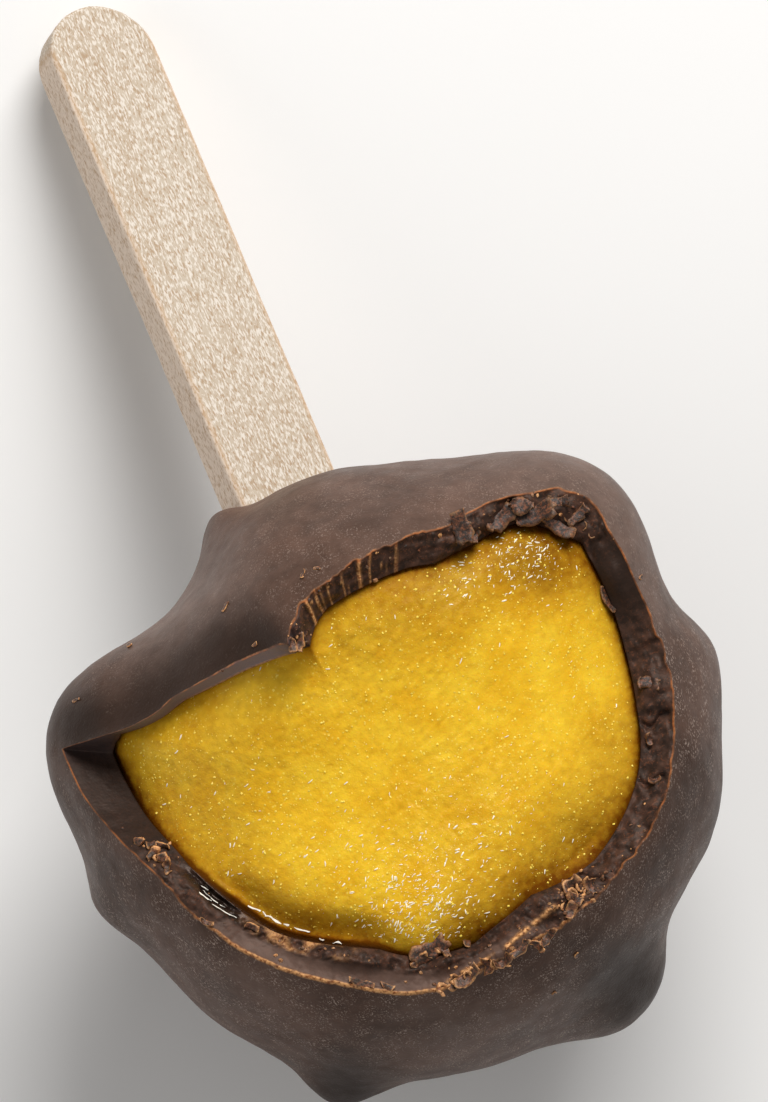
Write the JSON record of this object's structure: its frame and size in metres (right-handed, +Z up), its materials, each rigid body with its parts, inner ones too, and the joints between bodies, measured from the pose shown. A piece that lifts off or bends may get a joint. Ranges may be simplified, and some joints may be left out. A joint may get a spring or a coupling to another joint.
{
  "type": "ice lolly",
  "caption": "Ball of frozen mango in a lumpy dark chocolate coating on a flat wooden stick, with a large bite taken, lying down with the bite facing up.",
  "frame": {"origin": "centre of the small flat under the ball, on the surface that the lolly lies on", "axes": "+Z up through the bite, +Y from the ball towards the stick's tip, +X to the right of the stick seen from above"},
  "size_m": [0.0582, 0.1005, 0.0501],
  "materials": {
    "chocolate": "dark chocolate, matt, with a pale bloom and fine speckles, glossier and rough where it is broken",
    "mango_ice": "golden yellow frozen fruit ice, wet, with fine bubbles and ice crystals",
    "birch": "pale untreated birch with short fibres along the length"
  },
  "bodies": {
    "root": {"coating": "chocolate", "filling": "mango_ice", "stick": "birch"}
  },
  "joints": []
}
